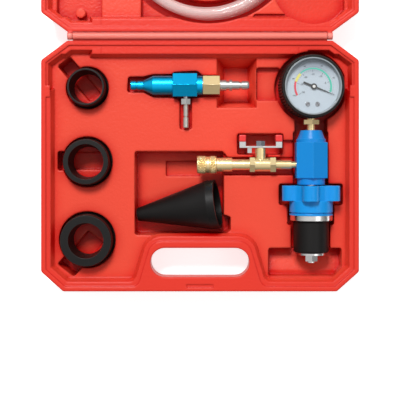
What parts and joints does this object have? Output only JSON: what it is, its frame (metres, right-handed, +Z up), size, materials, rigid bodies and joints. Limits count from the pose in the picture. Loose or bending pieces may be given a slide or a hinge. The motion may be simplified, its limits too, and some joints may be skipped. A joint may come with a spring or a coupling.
{
  "type": "coolant refill kit",
  "caption": "Open red blow-moulded case holding a cooling-system filler head with gauge, star knob and side valve, a venturi, tapered rubber neck adapters and a coiled clear hose.",
  "frame": {"origin": "middle of the opened case's underside: X from the left and right sides, Y on the hinge line, Z at the floor", "axes": "+X to the right along the hinge, +Y towards the lid lying open, +Z up"},
  "size_m": [0.33, 0.5361, 0.0668],
  "materials": {
    "red_case": "satin blow-moulded",
    "bright_steel": "bright",
    "black_rubber": "matt",
    "cyan_anodised": "anodised",
    "brass": "plain",
    "blue_plastic": "satin",
    "clear_lens": "clear",
    "dial_face": "printed",
    "black_metal": "satin",
    "red_grip": "dipped",
    "clear_vinyl": "clear flexible"
  },
  "bodies": {
    "base": {"case_base": "red_case", "hinge_rod": "bright_steel"},
    "lid": {"case_lid": "red_case", "latch_pin_left": "bright_steel", "latch_pin_right": "bright_steel"},
    "left_latch": {"latch_left": "red_case"},
    "right_latch": {"latch_right": "red_case"},
    "small_adapter": {"adapter_small": "black_rubber"},
    "medium_adapter": {"adapter_medium": "black_rubber"},
    "large_adapter": {"adapter_large": "black_rubber"},
    "cone": {"cone_adapter": "black_rubber"},
    "venturi": {"venturi_nozzle": "cyan_anodised", "venturi_body": "cyan_anodised", "venturi_inlet": "brass", "air_plug": "bright_steel", "side_barb": "bright_steel", "side_barb_nut": "bright_steel"},
    "head": {"head_body": "blue_plastic", "gauge_stem": "brass", "gauge_case": "bright_steel", "gauge_boot": "black_rubber", "gauge_bezel": "bright_steel", "gauge_lens": "clear_lens", "gauge_dial": "dial_face", "dial_screw_left": "bright_steel", "dial_screw_right": "bright_steel", "clamp_washer": "bright_steel", "rubber_expander": "black_rubber", "valve_nipple": "brass", "valve_body": "brass", "coupler_body": "brass"},
    "needle": {"gauge_needle": "black_metal", "needle_hub": "black_metal"},
    "knob": {"star_knob": "blue_plastic"},
    "puller": {"centre_tube": "bright_steel", "end_washer": "bright_steel", "end_nut": "bright_steel"},
    "valve_turner": {"valve_ball": "bright_steel", "valve_stem": "bright_steel", "valve_handle": "bright_steel", "handle_grip_left": "red_grip", "handle_grip_right": "red_grip", "handle_nut": "black_metal"},
    "sleeve": {"coupler_sleeve": "brass"},
    "hose": {"fill_hose": "clear_vinyl"}
  },
  "joints": [
    {"name": "lid_hinge", "type": "hinge", "parent": "base", "child": "lid", "pos_m": [0, 0, 0.04215], "axis": [-1, 0, 0], "range_deg": [-180, 0]},
    {"name": "latch_left_hinge", "type": "hinge", "parent": "lid", "child": "left_latch", "pos_m": [-0.095, 0.2669, 0.038], "axis": [-1, 0, 0], "range_deg": [-180, 0]},
    {"name": "latch_right_hinge", "type": "hinge", "parent": "lid", "child": "right_latch", "pos_m": [0.095, 0.2669, 0.038], "axis": [-1, 0, 0], "range_deg": [-180, 0]},
    {"name": "small_adapter_lift", "type": "slide", "parent": "base", "child": "small_adapter", "axis": [0, 0, 1], "range_m": [0, 0.06]},
    {"name": "medium_adapter_lift", "type": "slide", "parent": "base", "child": "medium_adapter", "axis": [0, 0, 1], "range_m": [0, 0.06]},
    {"name": "large_adapter_lift", "type": "slide", "parent": "base", "child": "large_adapter", "axis": [0, 0, 1], "range_m": [0, 0.06]},
    {"name": "cone_lift", "type": "slide", "parent": "base", "child": "cone", "axis": [0, 0, 1], "range_m": [0, 0.08]},
    {"name": "venturi_lift", "type": "slide", "parent": "base", "child": "venturi", "axis": [0, 0, 1], "range_m": [0, 0.1]},
    {"name": "head_lift", "type": "slide", "parent": "base", "child": "head", "axis": [0, 0, 1], "range_m": [0, 0.1]},
    {"name": "hose_lift", "type": "slide", "parent": "lid", "child": "hose", "axis": [0, 0, 1], "range_m": [0, 0.05]},
    {"name": "valve_turn", "type": "hinge", "parent": "head", "child": "valve_turner", "pos_m": [0.0632, -0.1335, 0.036], "axis": [0, 1, 0], "range_deg": [0, 90]},
    {"name": "sleeve_slide", "type": "slide", "parent": "head", "child": "sleeve", "axis": [1, 0, 0], "range_m": [0, 0.003], "stiffness_N_per_m": 400, "springref_m": -0.002},
    {"name": "knob_turn", "type": "hinge", "parent": "head", "child": "knob", "pos_m": [0.116, -0.163, 0.036], "axis": [0, 1, 0], "range_deg": [0, 720]},
    {"name": "puller_slide", "type": "slide", "parent": "head", "child": "puller", "axis": [0, 1, 0], "range_m": [0, 0.0041], "deforming": ["rubber_expander"]},
    {"name": "needle_turn", "type": "hinge", "parent": "head", "child": "needle", "pos_m": [0.11703, -0.053, 0.05132], "axis": [0.0663, 0, 0.9978], "range_deg": [0, 230]}
  ],
  "couplings": [
    {"joint": "puller_slide", "follows": "knob_turn", "m_per_rad": 0.00031831}
  ]
}
